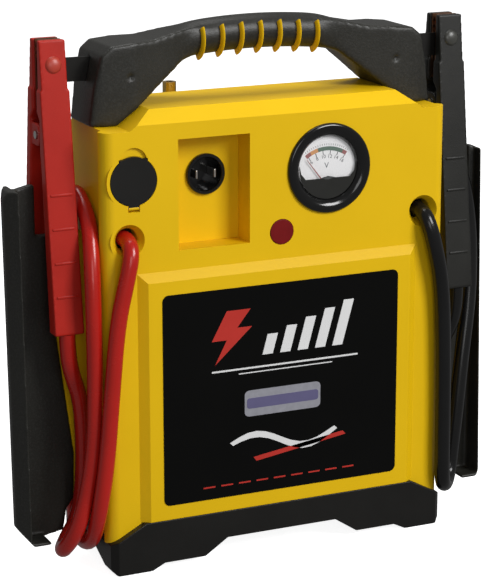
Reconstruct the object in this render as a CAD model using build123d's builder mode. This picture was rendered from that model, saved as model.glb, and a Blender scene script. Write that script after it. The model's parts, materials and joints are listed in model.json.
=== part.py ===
from build123d import *
import os

# Jump starter pack: yellow housing over a black base, carry handle on top, cable
# webs and holsters at the sides, two battery clamps parked on perches.
# Millimetres. X runs to the right, Y to the back, Z up from the floor.
# The origin is on the floor under the middle; the shell seam is the plane Y = 0.

os.makedirs("parts", exist_ok=True)

# ---- housing ----
housing_half_w = 144.0
housing_half_d = 49.0
housing_top = 358.0
shoulder_top = 344.0
shoulder_in = 103.0
shoulder_out = 122.5
lip_depth = 10.0
side_step = 4.0
corner_r = 9.5
top_bevel = 10.0
rear_bevel = 24.0
wall = 3.0
fit_gap = 0.3
skirt_low = 24.5
skirt_in = 115.0
# ---- raised label panel ----
panel_half_w = 118.0
panel_top = 236.0
panel_proud = 5.0
panel_slope = 7.0
label_w = 200.0
label_h = 167.0
label_mid_z = 135.0
label_t = 0.5
# ---- base ----
base_half_w = 143.0
base_half_d = 55.0
base_top = 40.0
foot_in = 110.0
foot_rise = 5.5
centre_arch = 18.0
side_arch = 17.0
base_wall = 4.0
pad_t = 2.0
# ---- carry handle ----
grip_z = 405.0
grip_d = 27.0
lobe_top = 405.0
lobe_half_d = 25.0
lobe_out_low = 143.0
lobe_out_high = 134.0
rib_count = 7
rib_pitch = 16.0
rib_w = 5.0
rib_proud = 1.6
# ---- webs and holsters ----
web_t = 6.0
web_low = 46.0
web_top = 262.0
web_in_low = 155.0
web_in_high = 168.0
holster_out = 204.5
holster_low = 22.0
holster_top = 301.0
rim_in = 197.0
rim_front = -18.0
rim_rear = 12.0
rim_t = 3.0
rim_lean = 5.5
# ---- clamps ----
clamp_x = 167.0
clamp_w = 23.0
clamp_low = 191.0
clamp_high = 409.0
pivot_z = 338.0
pin_d = 6.0
pin_gap = 0.05
ear_r = 8.5
ear_in = 4.8
ear_t = 2.8
ear_gap = 0.3
handle_flare = 36.0
jaw_outer = 10.0
grip_thick = 13.6
jaw_t = 2.6
perch_t = 3.0
rivet_d = 12.0
rivet_z = 391.0
cable_d = 12.5
# ---- twelve volt outlet ----
outlet_x = -119.7
outlet_z = 306.7
cap_d = 36.6
cap_t = 3.0
socket_bore = 21.1
socket_d = 27.0
socket_len = 43.4
# ---- charge inlet in its well ----
well_left = -84.0
well_right = -25.5
well_low = 251.0
well_high = 335.5
well_depth = 22.0
inlet_x = -53.0
inlet_z = 303.0
inlet_d = 31.7
prong_pitch = 15.0
# ---- meter ----
meter_x = 41.0
meter_z = 303.4
bezel_d = 70.0
lens_d = 60.0
meter_depth = 30.0
needle_len = 21.0
# ---- test button ----
button_x = 1.3
button_z = 257.0
button_d = 19.6
button_travel = 1.5
# ---- cable exits ----
exit_x = 124.0
exit_z = 262.0
exit_bore = 14.5
exit_sink = 6.0
exit_flare_r = 12.5
gland_sink = 12.0
# ---- battery and electrics ----
battery_w = 181.0
battery_d = 77.0
battery_h = 167.0
# ---- compressor ----
motor_d = 46.0
motor_len = 70.0
motor_x = 40.0
motor_z = 266.0
fan_d = 44.0
fan_shaft_d = 5.0
# ---- rear gauge, switch and hose ----
gauge_x = 90.0
gauge_z = 300.0
gauge_d = 44.0
switch_x = 90.0
switch_z = 250.0
hose_d = 8.0
chuck_x = -48.0

front_y = -housing_half_d


def shell_block(inset, floor_z):
    """The housing as a solid block, or its cavity when inset by the wall."""
    half_w = housing_half_w - inset
    half_d = housing_half_d - inset
    top = housing_top - inset
    low = shoulder_top - inset
    shelf_y = lip_depth - half_d
    with BuildPart() as block:
        with BuildSketch(Plane.XY) as plan:
            with BuildLine():
                Polyline(
                    (-half_w, -half_d), (half_w, -half_d), (half_w, shelf_y),
                    (half_w - side_step, shelf_y + side_step), (half_w - side_step, half_d),
                    (side_step - half_w, half_d), (side_step - half_w, shelf_y + side_step),
                    (-half_w, shelf_y), close=True,
                )
            make_face()
            rows = plan.vertices().group_by(Axis.Y)
            fillet(rows[0] + rows[-1], corner_r - inset)
        extrude(amount=housing_top)
        # front elevation: shoulders at the top, dips at the bottom corners
        with BuildSketch(Plane.XZ):
            with BuildLine():
                Polyline(
                    (-housing_half_w, skirt_low if floor_z is None else floor_z),
                    (-skirt_in, floor_z or base_top), (skirt_in, floor_z or base_top),
                    (housing_half_w, skirt_low if floor_z is None else floor_z),
                    (housing_half_w, low), (shoulder_out - inset, low),
                    (shoulder_in - inset, top), (inset - shoulder_in, top),
                    (inset - shoulder_out, low), (-housing_half_w, low), close=True,
                )
            make_face()
        extrude(amount=housing_half_d, both=True, mode=Mode.INTERSECT)
        # side elevation: sloped front and rear top edges
        with BuildSketch(Plane.YZ):
            with BuildLine():
                Polyline(
                    (-half_d, 0), (half_d, 0), (half_d, top - rear_bevel),
                    (half_d - rear_bevel, top), (top_bevel - half_d, top),
                    (-half_d, top - top_bevel), close=True,
                )
            make_face()
        extrude(amount=housing_half_w, both=True, mode=Mode.INTERSECT)
        # the same slopes carried down over both shoulders
        for side in (-1, 1):
            with BuildSketch(Plane.YZ.offset(side * (shoulder_out - inset))):
                with BuildLine():
                    Polyline((half_d, low - rear_bevel), (half_d - rear_bevel, low),
                             (half_d, low), close=True)
                make_face()
            extrude(amount=side * housing_half_w, mode=Mode.SUBTRACT)
    return block.part


housing_outer = shell_block(0.0, None)
housing_cavity = shell_block(wall, base_top + wall)

# screws that pull the shells together from the rear
screw_spots = [(-128, 60), (128, 60), (-128, 215), (128, 215), (0, 235), (0, 320)]
boss_d = 8.0
screw_d = 3.0
screw_head_d = 5.6
screw_sink = 10.0


def along_y(x, y, z):
    """Place a round piece with its axis along Y, its own +Z facing the front."""
    return Locations(Location((x, y, z), (90, 0, 0)))


# ---- front shell ----
well_mid = ((well_left + well_right) / 2, (well_low + well_high) / 2)
well_w = well_right - well_left
well_h = well_high - well_low
cap_r = cap_d / 2
hinge_y = front_y + 1.6
hinge_z = outlet_z - cap_r - 2.0
knuckle_w = 8.0
lip_w = 22.0
lip_z = 14.0
knuckle_r = 1.6
hinge_pin_r = 0.9
hub_r = exit_flare_r + 2.5
hub_depth = gland_sink + 8.0
gland_r = exit_bore / 2 + 1.5
with BuildPart() as front_housing:
    add(housing_outer)
    add(housing_cavity, mode=Mode.SUBTRACT)
    split(bisect_by=Plane.XZ, keep=Keep.TOP)
    # raised panel with sloped sides and top
    with BuildSketch(Plane.XZ.offset(housing_half_d)):
        with Locations((0, (panel_top + base_top) / 2)):
            Rectangle(2 * panel_half_w, panel_top - base_top)
    with BuildSketch(Plane.XZ.offset(housing_half_d + panel_proud)):
        with Locations((0, (panel_top - panel_slope + base_top) / 2)):
            Rectangle(2 * (panel_half_w - panel_slope), panel_top - panel_slope - base_top)
    loft()
    # well for the charge inlet
    with BuildSketch(Plane.XZ.offset(housing_half_d)):
        with Locations(well_mid):
            Rectangle(well_w + 2 * wall, well_h + 2 * wall)
    extrude(amount=-(well_depth + wall))
    with BuildSketch(Plane.XZ.offset(housing_half_d)):
        with Locations(well_mid):
            Rectangle(well_w, well_h)
    extrude(amount=-well_depth, mode=Mode.SUBTRACT)
    with along_y(inlet_x, front_y + well_depth, inlet_z):
        Cylinder(inlet_d / 2 - 2, 4 * wall, mode=Mode.SUBTRACT)
    # seat for the outlet cap, its finger notch, its hinge pocket and the bore
    with along_y(outlet_x, front_y + (cap_t + wall) / 2, outlet_z):
        Cylinder(cap_r + wall, cap_t + wall)
    with along_y(outlet_x, front_y, outlet_z + cap_r - 4):
        Cylinder(11, 5, mode=Mode.SUBTRACT)
    with Locations((outlet_x, front_y, outlet_z + lip_z)):
        Box(lip_w + 1, 2 * cap_t, 6, mode=Mode.SUBTRACT)
    with Locations((outlet_x, front_y + 2, hinge_z)):
        Box(knuckle_w + 10, 8, 6.5)
    with Locations((outlet_x, front_y - 2, hinge_z)):
        Box(knuckle_w + 10, 4, 6.5, mode=Mode.SUBTRACT)
    with along_y(outlet_x, front_y, outlet_z):
        Cylinder(cap_r + 0.5, 2 * cap_t, mode=Mode.SUBTRACT)
        Cylinder(socket_d / 2 + fit_gap, 4 * cap_d, mode=Mode.SUBTRACT)
    with Locations((outlet_x, front_y + 2.4, hinge_z + 0.4)):
        Box(knuckle_w + 1.4, 4.8, 6.6, mode=Mode.SUBTRACT)
    with Locations(Location((outlet_x, hinge_y, hinge_z), (0, 90, 0))):
        Cylinder(hinge_pin_r + 0.05, knuckle_w + 6, mode=Mode.SUBTRACT)
    # meter and test button openings
    with along_y(meter_x, front_y, meter_z):
        Cylinder(lens_d / 2 + 1 + fit_gap, 20, mode=Mode.SUBTRACT)
    with along_y(button_x, front_y, button_z):
        Cylinder(button_d / 2 + fit_gap, 20, mode=Mode.SUBTRACT)
    # cable exits in flared recesses
    for side in (-1, 1):
        with along_y(side * exit_x, front_y + hub_depth / 2, exit_z):
            Cylinder(hub_r, hub_depth)
        with along_y(side * exit_x, front_y + exit_sink / 2, exit_z):
            Cone(gland_r, exit_flare_r, exit_sink, mode=Mode.SUBTRACT)
        with along_y(side * exit_x, front_y, exit_z):
            Cylinder(gland_r, 4 * hub_depth, mode=Mode.SUBTRACT)
    # screw bosses up to the seam
    for x, z in screw_spots:
        with along_y(x, (front_y + 1) / 2, z):
            Cylinder(boss_d / 2, 1 - front_y - 2)
        with along_y(x, 0, z):
            Cylinder(screw_d / 2, 40, mode=Mode.SUBTRACT)
front_housing.part.label = "front_housing"
export_step(front_housing.part, "parts/front_housing.step")

# ---- rear shell with the two cable webs ----
vent_count = 7
side_wall = housing_half_w - side_step
with BuildPart() as rear_housing:
    add(housing_outer)
    add(housing_cavity, mode=Mode.SUBTRACT)
    split(bisect_by=Plane.XZ, keep=Keep.BOTTOM)
    # vents for the compressor, then the gauge and switch openings
    for row in range(vent_count):
        with Locations((motor_x, housing_half_d, motor_z + 9 * (row - (vent_count - 1) / 2))):
            Box(54, 20, 3.5, mode=Mode.SUBTRACT)
    with along_y(gauge_x, housing_half_d, gauge_z):
        Cylinder(gauge_d / 2 - 2, 20, mode=Mode.SUBTRACT)
    with Locations((switch_x, housing_half_d, switch_z)):
        Box(20.6, 20, 13.6, mode=Mode.SUBTRACT)
    for x, z in screw_spots:
        with along_y(x, housing_half_d / 2 - 1, z):
            Cylinder(boss_d / 2, housing_half_d - 2)
        with along_y(x, housing_half_d / 2, z):
            Cylinder(screw_d / 2 + fit_gap, housing_half_d + 2, mode=Mode.SUBTRACT)
        with along_y(x, housing_half_d, z):
            Cylinder(screw_head_d / 2 + fit_gap, 2 * screw_sink, mode=Mode.SUBTRACT)
    for side in (-1, 1):
        with BuildSketch(Plane.XZ):
            with BuildLine():
                Polyline(
                    (side * side_wall, web_low), (side * web_in_low, web_low + 4),
                    (side * (web_in_low - 1), 86), (side * 165, 172), (side * web_in_high, 200),
                    (side * web_in_high, web_top), (side * side_wall, web_top), close=True,
                )
            make_face()
        extrude(amount=web_t / 2, both=True)
        with Locations((side * (side_wall - 1), web_t / 4, (web_low + web_top) / 2)):
            Box(2, web_t / 2, web_top - web_low)
rear_housing.part.label = "rear_housing"
export_step(rear_housing.part, "parts/rear_housing.step")

# ---- base with stepped feet ----
skirt_slope = (base_top - skirt_low) / (housing_half_w - skirt_in)
base_edge = base_top - (base_half_w - skirt_in) * skirt_slope
foot_low = 0.6
pad_w = 26.0
pad_d = 7.0
pad_x = 124.5
pad_y = 50.0
with BuildPart() as base_tray:
    with BuildSketch(Plane.XZ):
        with BuildLine():
            Polyline(
                (47, centre_arch), (66, foot_rise), (100, foot_rise), (foot_in, foot_low),
                (base_half_w - 4, foot_low), (base_half_w, 4.5), (base_half_w, base_edge),
                (skirt_in, base_top), (-skirt_in, base_top), (-base_half_w, base_edge),
                (-base_half_w, 4.5), (4 - base_half_w, foot_low), (-foot_in, foot_low),
                (-100, foot_rise), (-66, foot_rise), (-47, centre_arch), close=True,
            )
        make_face()
    extrude(amount=base_half_d, both=True)
    chamfer(base_tray.edges().filter_by(Axis.Z).filter_by(lambda e: e.center().Z > 6), 5)
    # arch along each side, and the hollow underside between the feet
    with BuildSketch(Plane.YZ):
        with BuildLine():
            Polyline((-46, 0), (-6, side_arch), (6, side_arch), (46, 0), close=True)
        make_face()
    extrude(amount=base_half_w + 1, both=True, mode=Mode.SUBTRACT)
    with Locations((0, 0, (base_top - base_wall) / 2)):
        Box(2 * foot_in - 24, 2 * (base_half_d - base_wall), base_top - base_wall,
            mode=Mode.SUBTRACT)
    with Locations((0, 0, pad_t / 2)):
        with GridLocations(2 * pad_x, 2 * pad_y, 2, 2):
            Box(pad_w, pad_d, pad_t, mode=Mode.SUBTRACT)
base_tray.part.label = "base_tray"
export_step(base_tray.part, "parts/base_tray.step")

with BuildPart() as rubber_feet:
    with Locations((0, 0, pad_t / 2)):
        with GridLocations(2 * pad_x, 2 * pad_y, 2, 2):
            Box(pad_w, pad_d, pad_t)
rubber_feet.part.label = "rubber_feet"
export_step(rubber_feet.part, "parts/rubber_feet.step")

# ---- carry handle in two halves ----
perch_out = 172.0
perch_in = 126.0
perch_low = 376.0
perch_high = 394.0
grip_r = grip_d / 2
grip_half_w = 58.0
handle_half = [
    (0, grip_z + grip_r), (30, grip_z + 12.5), (52, grip_z + 9.5), (72, grip_z + 4.8),
    (92, lobe_top + 0.8), (112, lobe_top), (126, lobe_top - 1.5), (lobe_out_high, lobe_top - 8),
    (139.5, 372), (lobe_out_low, shoulder_top), (shoulder_out, shoulder_top),
    (shoulder_in, housing_top), (77, 378.5), (66, 386.5), (50, 390), (30, 391.3),
    (0, grip_z - grip_r),
]
with BuildPart() as carry_handle:
    with BuildSketch(Plane.XZ):
        with BuildLine():
            left_half = [(-x, z) for x, z in reversed(handle_half[1:-1])]
            Polyline(*handle_half, *left_half, close=True)
        make_face()
    extrude(amount=lobe_half_d, both=True)
    with BuildSketch(Plane.XY):
        with BuildLine():
            Polyline(
                (-lobe_out_low, -21), (-132, -lobe_half_d), (-108, -lobe_half_d),
                (-grip_half_w, -grip_r), (grip_half_w, -grip_r), (108, -lobe_half_d),
                (132, -lobe_half_d), (lobe_out_low, -21), (lobe_out_low, 21),
                (132, lobe_half_d), (108, lobe_half_d), (grip_half_w, grip_r),
                (-grip_half_w, grip_r), (-108, lobe_half_d), (-132, lobe_half_d),
                (-lobe_out_low, 21), close=True,
            )
        make_face()
    extrude(amount=2 * grip_z, both=True, mode=Mode.INTERSECT)
    # rounded corners along the grip
    with BuildSketch(Plane.YZ):
        with Locations((0, grip_z)):
            Rectangle(1.5 * grip_d, 1.5 * grip_d)
            Circle(grip_r + 2, mode=Mode.SUBTRACT)
    extrude(amount=grip_half_w - 6, both=True, mode=Mode.SUBTRACT)
    for side in (-1, 1):
        with Locations((side * (perch_in + perch_out) / 2, 0, (perch_low + perch_high) / 2)):
            Box(perch_out - perch_in, perch_t, perch_high - perch_low, mode=Mode.SUBTRACT)
for half_name, kept in (("handle_front", Keep.TOP), ("handle_rear", Keep.BOTTOM)):
    with BuildPart() as handle_half_part:
        add(carry_handle.part)
        split(bisect_by=Plane.XZ, keep=kept)
    handle_half_part.part.label = half_name
    export_step(handle_half_part.part, f"parts/{half_name}.step")

with BuildPart() as grip_ribs:
    for number in range(rib_count):
        rib_x = (number - (rib_count - 1) / 2) * rib_pitch
        with Locations((rib_x, -grip_r - rib_proud / 2, grip_z - 2)):
            Box(rib_w, rib_proud, grip_d - 11)
grip_ribs.part.label = "grip_ribs"
export_step(grip_ribs.part, "parts/grip_ribs.step")

with BuildPart() as clamp_perches:
    for side in (-1, 1):
        with Locations((side * (perch_in + perch_out) / 2, 0, (perch_low + perch_high) / 2)):
            Box(perch_out - perch_in, perch_t, perch_high - perch_low)
clamp_perches.part.label = "clamp_perches"
export_step(clamp_perches.part, "parts/clamp_perches.step")

# ---- holsters: a rim round the outside of each web ----
for side, holster_name, cheek_in in ((-1, "left_holster", 181.0), (1, "right_holster", 191.0)):
    with BuildPart() as holster:
        # the rim leans back towards the top
        with BuildSketch(Plane.XY):
            with BuildLine():
                Polyline(
                    (side * rim_in, rim_front - rim_lean), (side * holster_out, -4 - rim_lean),
                    (side * holster_out, 2 - rim_lean), (side * (rim_in + 2), rim_rear - rim_lean),
                    (side * (rim_in - 1), rim_rear - rim_lean),
                    (side * (rim_in - 1), rim_front - rim_lean), close=True,
                )
            make_face()
        extrude(amount=holster_top, dir=(0, 2 * rim_lean / holster_top, 1))
        with BuildSketch(Plane.XY):
            with Locations((side * (rim_in + web_in_low - 1) / 2, 0)):
                Rectangle(rim_in - web_in_low + 3, web_t)
        extrude(amount=holster_top)
        # floor of the holster
        with Locations((side * (rim_in + 181) / 2, (rim_front + rim_rear) / 2 - 5, holster_low + rim_t / 2)):
            Box(rim_in - 181, rim_rear - rim_front, rim_t)
        with BuildSketch(Plane.XZ):
            with BuildLine():
                Polyline(
                    (side * 181, holster_low), (side * 194.5, holster_low),
                    (side * holster_out, 35), (side * holster_out, holster_top - 10),
                    (side * 202, holster_top - 4), (side * (cheek_in + 3), holster_top),
                    (side * cheek_in, holster_top), (side * cheek_in, web_top),
                    (side * web_in_high, web_top),
                    (side * web_in_high, 200), (side * 165, 172), (side * (web_in_low - 1), 86),
                    (side * web_in_low, web_low + 4), (side * 161, 42), (side * 164, 25),
                    (side * 181, holster_low), close=True,
                )
            make_face()
        extrude(amount=60, both=True, mode=Mode.INTERSECT)
    holster.part.label = holster_name
    export_step(holster.part, f"parts/{holster_name}.step")

# ---- battery clamps: a front and a rear half on a pin, jaws at the top ----
clamp_half_w = clamp_w / 2
flare_slope = (handle_flare - jaw_outer) / (clamp_high - clamp_low)
rivet_y = handle_flare - (rivet_z - clamp_low) * flare_slope + 0.05
rivet_tilt = 90 - 57.2958 * flare_slope
rivet_t = 1.8
jaw_face = 2.0
tooth = 1.0
spring_r = 5.0
ear_body = 10.2
narrow_z = 372.0
narrow_cut = 1.2

for side, colour in ((-1, "red"), (1, "black")):
    mid_x = side * clamp_x
    for facing, half_name in ((-1, "front"), (1, "rear")):
        inner_ear = ear_in if facing < 0 else ear_in + ear_t + ear_gap
        with BuildPart() as clamp_half:
            with BuildSketch(Plane.YZ.offset(mid_x)):
                with BuildLine():
                    Polyline(
                        (facing * handle_flare, clamp_low),
                        (facing * (handle_flare - grip_thick), clamp_low),
                        (facing * 12.0, 318), (facing * ear_body, 326), (facing * ear_body, 350),
                        (facing * (jaw_face + jaw_t), 356), (facing * (jaw_face + jaw_t), clamp_high),
                        (facing * jaw_outer, clamp_high), close=True,
                    )
                make_face()
            extrude(amount=clamp_half_w, both=True)
            for edge in (-1, 1):
                with Locations((mid_x + edge * clamp_half_w, 0, (narrow_z + clamp_high) / 2)):
                    Box(2 * narrow_cut, 60, clamp_high - narrow_z + 0.2, mode=Mode.SUBTRACT)
                # pivot ears
                with BuildSketch(Plane.YZ.offset(mid_x + edge * (inner_ear + ear_t / 2))):
                    with Locations((0, pivot_z)):
                        Circle(ear_r)
                    with Locations((facing * (ear_body + 1) / 2, pivot_z)):
                        Rectangle(ear_body + 1, 2 * ear_r)
                extrude(amount=ear_t / 2, both=True)
            with Locations(Location((mid_x, 0, pivot_z), (0, 90, 0))):
                Cylinder(pin_d / 2 + pin_gap, 2 * clamp_half_w, mode=Mode.SUBTRACT)
        clamp_half.part.label = f"{colour}_clamp_{half_name}"
        export_step(clamp_half.part, f"parts/{colour}_clamp_{half_name}.step")

        with BuildPart() as clamp_jaw:
            with BuildSketch(Plane.YZ.offset(mid_x)):
                with BuildLine():
                    Polyline(
                        (facing * (jaw_face + jaw_t), 357), (facing * jaw_face, 360),
                        (facing * jaw_face, 395), (facing * (jaw_face + tooth), 397.5),
                        (facing * jaw_face, 400), (facing * (jaw_face + tooth), 402.5),
                        (facing * jaw_face, 405), (facing * jaw_face, clamp_high),
                        (facing * (jaw_face + jaw_t), clamp_high), close=True,
                    )
                make_face()
            extrude(amount=clamp_half_w - 3, both=True)
        clamp_jaw.part.label = f"{colour}_clamp_{half_name}_jaw"
        export_step(clamp_jaw.part, f"parts/{colour}_clamp_{half_name}_jaw.step")

        with BuildPart() as clamp_rivet:
            face_spot = Location((mid_x, facing * rivet_y, rivet_z), (-facing * rivet_tilt, 0, 0))
            with Locations(face_spot):
                Cylinder(rivet_d / 2, rivet_t, align=(Align.CENTER, Align.CENTER, Align.MIN))
            fillet(clamp_rivet.edges().group_by(Axis.Y)[0 if facing < 0 else -1], 0.9)
        clamp_rivet.part.label = f"{colour}_clamp_{half_name}_rivet"
        export_step(clamp_rivet.part, f"parts/{colour}_clamp_{half_name}_rivet.step")

    with BuildPart() as clamp_pin:
        with Locations(Location((mid_x, 0, pivot_z), (0, 90, 0))):
            Cylinder(pin_d / 2, clamp_w)
    clamp_pin.part.label = f"{colour}_clamp_pin"
    export_step(clamp_pin.part, f"parts/{colour}_clamp_pin.step")

    with BuildPart() as clamp_spring:
        with Locations(Location((mid_x, 0, pivot_z), (0, 90, 0))):
            Cylinder(spring_r, 2 * ear_in - 2 * fit_gap)
            Cylinder(pin_d / 2 + 2 * fit_gap, clamp_w, mode=Mode.SUBTRACT)
    clamp_spring.part.label = f"{colour}_clamp_spring"
    export_step(clamp_spring.part, f"parts/{colour}_clamp_spring.step")

# ---- jumper cables: from the exits, round the webs, into the front handles ----
gland_len = 7.0
cable_start_y = front_y + gland_sink
handle_mid_y = -handle_flare + grip_thick / 2
red_route = [
    (-exit_x, cable_start_y, exit_z), (-exit_x, -48.8, exit_z), (-125.2, -57.0, 253.4),
    (-129.0, -58.0, 237), (-137.0, -56.8, 203), (-142.0, -56.4, 150), (-147.5, -57.5, 95),
    (-152.5, -54.5, 58), (-153.8, -41.0, 28), (-152.0, -14.0, 16.5), (-150.8, 8.0, 25),
    (-148.2, 14.8, 50), (-147.0, 15.0, 96), (-147.2, 14.2, 160), (-147.0, 15.2, 222),
    (-147.1, 14.6, 258), (-147.0, 15.0, 284.7), (-147.2, 0.0, 293.3), (-147.0, -15.0, 284.7),
    (-146.9, -27.5, 271.5), (-150.0, -38.5, 254), (-151.8, -45.0, 230), (-151.9, -46.5, 190),
    (-151.7, -46.0, 146), (-153.4, -46.6, 104), (-159.2, -45.4, 68), (-167.4, -43.5, 38),
    (-175.0, -27.5, 16.5), (-166.0, -9.8, 18), (-155.0, -10.4, 36), (-151.0, -12.5, 62),
    (-150.8, -15.8, 98), (-154.6, -21.5, 135), (-162.6, -27.0, 156),
    (-clamp_x, handle_mid_y, 174), (-clamp_x, handle_mid_y, clamp_low),
]
black_route = [
    (exit_x, cable_start_y, exit_z), (exit_x, -48.8, exit_z), (125.4, -57.0, 253.2),
    (130.5, -58.4, 235), (138.5, -56.8, 202), (141.4, -56.5, 148), (142.2, -56.2, 100),
    (142.3, -56.6, 64), (143.0, -56.0, 36.5), (152.5, -45.0, 28), (162.0, -34.0, 36.5),
    (164.4, -33.6, 58), (168.0, -33.0, 88), (175.0, -28.0, 134), (184.6, -20.8, 180),
    (187.6, -14.6, 226), (185.8, -11.5, 255), (180.5, -5.4, 280), (167.0, -3.5, 294.0),
    (154.5, -2.5, 299.0), (148.0, 7.0, 296.5), (147.0, 15.2, 283), (147.0, 14.8, 240),
    (147.2, 14.2, 175),
    (147.0, 15.0, 112), (148.4, 14.2, 62), (151.0, 14.0, 31), (151.6, -2.5, 21.5),
    (151.0, -19.0, 31), (150.6, -20.4, 60), (151.0, -21.0, 102), (155.0, -23.6, 140),
    (163.4, -27.2, 157), (clamp_x, handle_mid_y, 174), (clamp_x, handle_mid_y, clamp_low),
]


def bend_radii(route):
    """Largest arc at each corner that its two runs leave room for."""
    radii = []
    for before, here, after in zip(route, route[1:], route[2:]):
        run_in = Vector(*here) - Vector(*before)
        run_out = Vector(*after) - Vector(*here)
        half_turn = run_in.get_angle(run_out) / 2 * 0.0174533
        tangent = half_turn + half_turn**3 / 3 + 2 * half_turn**5 / 15
        radii.append(0.45 * min(run_in.length, run_out.length) / tangent)
    return radii


def sweep_tube(route, diameter, node_name):
    """A round cable or hose along straight runs joined by tangent arcs."""
    radii = bend_radii(route)
    with BuildPart() as tube:
        with BuildLine() as path:
            FilletPolyline(*route, radius=radii)
        start = Vector(*route[0])
        first_run = (Vector(*route[1]) - start).normalized()
        with BuildSketch(Plane(origin=start, z_dir=first_run)):
            Circle(diameter / 2)
        sweep(path=path.line)
    length = sum(edge.length for edge in path.edges())
    section = 3.14159265 * diameter**2 / 4
    print(node_name, "length", round(length, 1), "volume ratio",
          round(tube.part.volume / (section * length), 3), "lowest", round(tube.part.bounding_box().min.Z, 1))
    print("  radii", [round(radius) for radius in radii])
    tube.part.label = node_name
    export_step(tube.part, f"parts/{node_name}.step")


sweep_tube(red_route, cable_d, "red_cable")
sweep_tube(black_route, cable_d, "black_cable")

with BuildPart() as cable_glands:
    for side in (-1, 1):
        with along_y(side * exit_x, cable_start_y + gland_len / 2, exit_z):
            Cylinder(gland_r, gland_len)
            Cylinder(cable_d / 2 - 1, gland_len, mode=Mode.SUBTRACT)
cable_glands.part.label = "cable_glands"
export_step(cable_glands.part, "parts/cable_glands.step")

# ---- front panel fittings ----
with BuildPart() as label_plate:
    with BuildSketch(Plane.XZ.offset(housing_half_d + panel_proud)):
        with Locations((0, label_mid_z)):
            RectangleRounded(label_w, label_h, 5)
    extrude(amount=label_t)
label_plate.part.label = "label_plate"
export_step(label_plate.part, "parts/label_plate.step")

socket_front = front_y + cap_t + 0.6
socket_floor = 9.0
contact_len = 5.0
with BuildPart() as outlet_socket:
    with along_y(outlet_x, socket_front + socket_len / 2, outlet_z):
        Cylinder(socket_d / 2, socket_len)
    with along_y(outlet_x, socket_front + (socket_len - socket_floor) / 2, outlet_z):
        Cylinder(socket_bore / 2, socket_len - socket_floor, mode=Mode.SUBTRACT)
    with along_y(outlet_x, socket_front + socket_len - socket_floor + 3, outlet_z):
        Cylinder(3.5, 6, mode=Mode.SUBTRACT)
outlet_socket.part.label = "outlet_socket"
export_step(outlet_socket.part, "parts/outlet_socket.step")

with BuildPart() as outlet_contact:
    with along_y(outlet_x, socket_front + socket_len - wall - contact_len / 2, outlet_z):
        Cylinder(3.5, contact_len)
outlet_contact.part.label = "outlet_contact"
export_step(outlet_contact.part, "parts/outlet_contact.step")

with BuildPart() as outlet_cap:
    with along_y(outlet_x, front_y + cap_t / 2, outlet_z):
        Cylinder(cap_r, cap_t)
    with Locations((outlet_x, front_y + cap_t / 2, outlet_z + lip_z)):
        Box(lip_w, cap_t, 5)
    with Locations(Location((outlet_x, hinge_y, hinge_z), (0, 90, 0))):
        Cylinder(knuckle_r, knuckle_w)
    with Locations((outlet_x, hinge_y, hinge_z + 2.4)):
        Box(knuckle_w, 2 * knuckle_r - 0.4, 4.4)
    with Locations(Location((outlet_x, hinge_y, hinge_z), (0, 90, 0))):
        Cylinder(hinge_pin_r + 0.05, knuckle_w + 2, mode=Mode.SUBTRACT)
outlet_cap.part.label = "outlet_cap"
export_step(outlet_cap.part, "parts/outlet_cap.step")

with BuildPart() as cap_hinge_pin:
    with Locations(Location((outlet_x, hinge_y, hinge_z), (0, 90, 0))):
        Cylinder(hinge_pin_r, knuckle_w + 5)
cap_hinge_pin.part.label = "cap_hinge_pin"
export_step(cap_hinge_pin.part, "parts/cap_hinge_pin.step")

inlet_y = front_y + well_depth
flange_t = 3.0
inlet_cup_r = 12.5
with BuildPart() as charge_inlet:
    with along_y(inlet_x, inlet_y - flange_t / 2, inlet_z):
        Cylinder(inlet_d / 2, flange_t)
    with along_y(inlet_x, inlet_y + 10, inlet_z):
        Cylinder(inlet_d / 2 - 2 - fit_gap, 20)
    with along_y(inlet_x, inlet_y + 3, inlet_z):
        Cylinder(inlet_cup_r, 18, mode=Mode.SUBTRACT)
charge_inlet.part.label = "charge_inlet"
export_step(charge_inlet.part, "parts/charge_inlet.step")

with BuildPart() as inlet_prongs:
    for prong in (-1, 1):
        with Locations((inlet_x + prong * prong_pitch / 2, inlet_y + 5, inlet_z)):
            Box(1.6, 14, 6.4)
inlet_prongs.part.label = "inlet_prongs"
export_step(inlet_prongs.part, "parts/inlet_prongs.step")

# ---- meter ----
bezel_proud = 3.0
dial_y = front_y + 4.0
cover_top = meter_z - 8.0
needle_z = meter_z - 15.4
needle_lean = -38.0
with BuildPart() as meter_body:
    with along_y(meter_x, front_y + meter_depth / 2, meter_z):
        Cylinder(lens_d / 2 + 1, meter_depth)
    with along_y(meter_x, front_y + (meter_depth - wall) / 2, meter_z):
        Cylinder(lens_d / 2 - 1, meter_depth - wall, mode=Mode.SUBTRACT)
meter_body.part.label = "meter_body"
export_step(meter_body.part, "parts/meter_body.step")

with BuildPart() as meter_bezel:
    with along_y(meter_x, front_y - bezel_proud / 2, meter_z):
        Cylinder(bezel_d / 2, bezel_proud)
        Cylinder(lens_d / 2 - 1, bezel_proud, mode=Mode.SUBTRACT)
    chamfer(meter_bezel.edges().group_by(Axis.Y)[0].sort_by(SortBy.RADIUS)[-1], 1.5)
meter_bezel.part.label = "meter_bezel"
export_step(meter_bezel.part, "parts/meter_bezel.step")

with BuildPart() as meter_dial:
    with along_y(meter_x, dial_y + 0.5, meter_z):
        Cylinder(lens_d / 2 - 1.3, 1)
meter_dial.part.label = "meter_dial"
export_step(meter_dial.part, "parts/meter_dial.step")

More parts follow.
